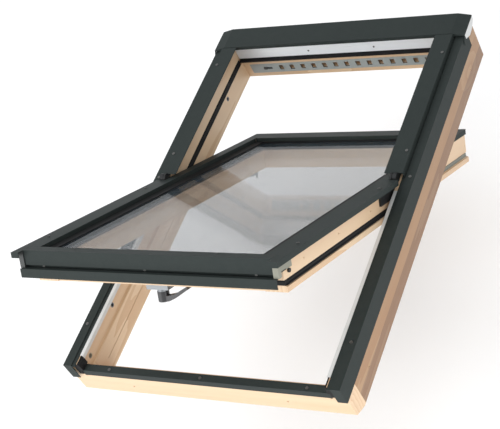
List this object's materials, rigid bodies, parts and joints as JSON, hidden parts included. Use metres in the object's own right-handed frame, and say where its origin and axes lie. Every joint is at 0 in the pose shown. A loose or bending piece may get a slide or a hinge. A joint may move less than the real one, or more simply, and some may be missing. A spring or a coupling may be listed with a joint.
{
  "type": "roof skylight",
  "caption": "Centre-pivot timber roof window in its frame, with aluminium covers, double glazing, vent strip, handle, lock rods and cleaning bolt.",
  "frame": {"origin": "middle of the sill's outer face, 38 mm above the frame's room side", "axes": "+X to the right seen from outside, +Y up the slope along the jambs, +Z out of the roof; the sash stands turned open 33.7 degrees"},
  "size_m": [0.786, 1.1835, 0.7041],
  "materials": {
    "pine": "clear lacquered pine",
    "cladding": "powder coated, satin",
    "hood_grey": "powder coated, satin",
    "black_rubber": "matte",
    "pale_seal": "matte",
    "pale_strip": "satin",
    "vent_grey": "anodised, satin",
    "vent_plastic": "matte",
    "steel": "zinc plated",
    "screw": "zinc plated",
    "glass": "clear, coated",
    "spacer": "matte",
    "corner_plastic": "matte",
    "strip_plastic": "matte",
    "handle_metal": "satin"
  },
  "bodies": {
    "frame": {"frame_head": "pine", "frame_sill": "pine", "frame_jamb_left": "pine", "frame_jamb_right": "pine", "head_hood": "hood_grey", "hood_end_seals": "pale_seal", "head_strip": "pale_strip", "upper_cover_left": "cladding", "upper_cover_right": "cladding", "side_cladding_left": "cladding", "side_cladding_right": "cladding", "sill_cladding": "cladding", "sill_corners": "black_rubber", "head_gasket": "black_rubber", "jamb_gasket_left": "black_rubber", "jamb_gasket_right": "black_rubber", "weather_strip_left": "pale_seal", "weather_strip_right": "pale_seal", "vent_grille": "vent_grey", "hinge_bracket_left": "steel", "hinge_bracket_right": "steel", "lock_strikes": "steel", "bolt_sockets": "steel", "frame_screws": "screw", "trim_screws": "screw"},
    "sash": {"sash_top_rail": "pine", "sash_bottom_rail": "pine", "sash_stile_left": "pine", "sash_stile_right": "pine", "glass_outer": "glass", "glass_inner": "glass", "glass_spacer": "spacer", "glazing_seal": "black_rubber", "lower_cover_left": "cladding", "lower_cover_right": "cladding", "sash_cover_left": "cladding", "sash_cover_right": "cladding", "sash_cover_top": "cladding", "bottom_cover": "cladding", "drip_profile": "cladding", "sash_corner_left": "corner_plastic", "sash_corner_right": "corner_plastic", "sash_gasket_left": "black_rubber", "sash_gasket_right": "black_rubber", "sash_gasket_bottom": "black_rubber", "groove_strip_left": "strip_plastic", "groove_strip_right": "strip_plastic", "hinge_arm_left": "steel", "hinge_arm_right": "steel", "handle_base": "steel", "lock_case": "steel", "bolt_guide": "steel", "sash_screws": "screw"},
    "handle": {"handle_lever": "handle_metal"},
    "lock_rod_left_body": {"lock_rod_left": "steel"},
    "lock_rod_right_body": {"lock_rod_right": "steel"},
    "bolt": {"cleaning_bolt": "steel"},
    "shutter": {"vent_slider": "vent_plastic"}
  },
  "joints": [
    {"name": "sash_pivot", "type": "hinge", "parent": "frame", "child": "sash", "pos_m": [0, 0.598, 0.108], "axis": [-1, 0, 0], "range_deg": [-33.7, 126.3]},
    {"name": "handle_turn", "type": "hinge", "parent": "sash", "child": "handle", "pos_m": [-0.004, 0.09382, 0.33607], "axis": [0, 0.5548, 0.832], "range_deg": [0, 90]},
    {"name": "lock_left_slide", "type": "slide", "parent": "sash", "child": "lock_rod_left_body", "axis": [-1, 0, 0], "range_m": [0, 0.02]},
    {"name": "lock_right_slide", "type": "slide", "parent": "sash", "child": "lock_rod_right_body", "axis": [1, 0, 0], "range_m": [0, 0.02]},
    {"name": "bolt_slide", "type": "slide", "parent": "sash", "child": "bolt", "axis": [-1, 0, 0], "range_m": [0, 0.02]},
    {"name": "shutter_slide", "type": "slide", "parent": "frame", "child": "shutter", "axis": [1, 0, 0], "range_m": [0, 0.017]}
  ],
  "couplings": [
    {"joint": "lock_left_slide", "follows": "handle_turn", "m_per_rad": 0.0127},
    {"joint": "lock_right_slide", "follows": "handle_turn", "m_per_rad": 0.0127}
  ]
}
